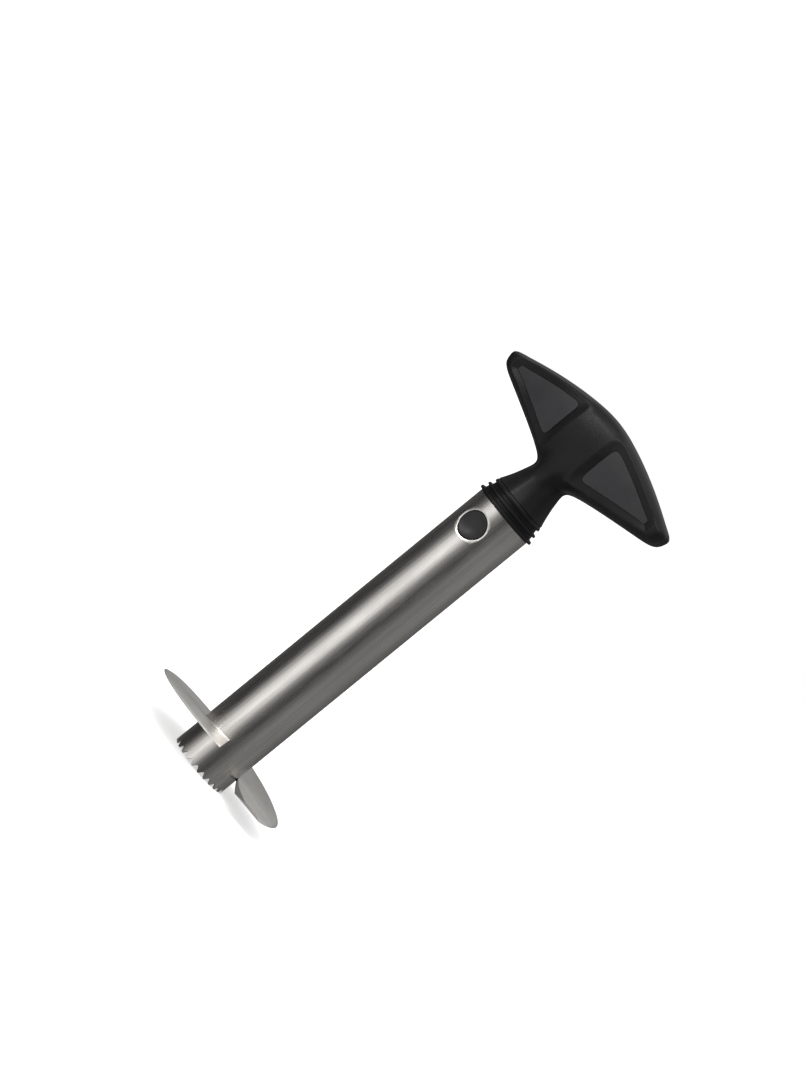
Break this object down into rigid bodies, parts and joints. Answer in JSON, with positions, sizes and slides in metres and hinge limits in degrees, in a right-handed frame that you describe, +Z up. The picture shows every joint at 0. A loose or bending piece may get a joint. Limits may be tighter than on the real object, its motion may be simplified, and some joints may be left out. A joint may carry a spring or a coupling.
{
  "type": "pineapple slicer",
  "caption": "Hand-turned pineapple slicer: toothed steel core tube with a spiral blade, and a black T-shaped handle released by two push buttons.",
  "frame": {"origin": "centre of the tube's toothed end, at the height of the tooth tips that it stands on", "axes": "+Z up along the tube towards the handle, +X along the handle's wings, -Y out of the front button"},
  "size_m": [0.1172, 0.088, 0.2465],
  "materials": {
    "tube_steel": "stainless steel with a fine lengthwise satin polish",
    "blade_steel": "satin stainless steel sheet with a ground edge",
    "spring_steel": "bright drawn spring wire",
    "screw_steel": "bright zinc-plated steel",
    "black_plastic": "semi-gloss moulded black plastic",
    "pad_rubber": "matt black grip pad with a fine grain",
    "core_plastic": "matt dark grey moulded plastic",
    "button_plastic": "semi-gloss moulded black plastic"
  },
  "bodies": {
    "cutter": {"core_tube": "tube_steel", "spiral_blade": "blade_steel"},
    "handle": {"ribbed_collar": "black_plastic", "latch_core_front": "core_plastic", "latch_core_rear": "core_plastic", "latch_end_cap": "core_plastic", "latch_screw_left": "screw_steel", "latch_screw_right": "screw_steel", "button_spring": "spring_steel", "handle_front_shell": "black_plastic", "handle_rear_shell": "black_plastic", "front_left_pad": "pad_rubber", "front_right_pad": "pad_rubber", "rear_left_pad": "pad_rubber", "rear_right_pad": "pad_rubber", "wing_screw_left_inner": "screw_steel", "wing_screw_left_outer": "screw_steel", "wing_screw_right_inner": "screw_steel", "wing_screw_right_outer": "screw_steel", "neck_screw": "screw_steel"},
    "front_button_body": {"front_button": "button_plastic"},
    "rear_button_body": {"rear_button": "button_plastic"}
  },
  "joints": [
    {"name": "handle_lift_off", "type": "slide", "parent": "cutter", "child": "handle", "axis": [0, 0, 1], "range_m": [0, 0.13]},
    {"name": "front_button_press", "type": "slide", "parent": "handle", "child": "front_button_body", "axis": [0, 1, 0], "range_m": [0, 0.0035], "stiffness_N_per_m": 900, "springref_m": -0.002, "deforming": ["button_spring"]},
    {"name": "rear_button_press", "type": "slide", "parent": "handle", "child": "rear_button_body", "axis": [0, -1, 0], "range_m": [0, 0.0035], "stiffness_N_per_m": 900, "springref_m": -0.002, "deforming": ["button_spring"]}
  ]
}
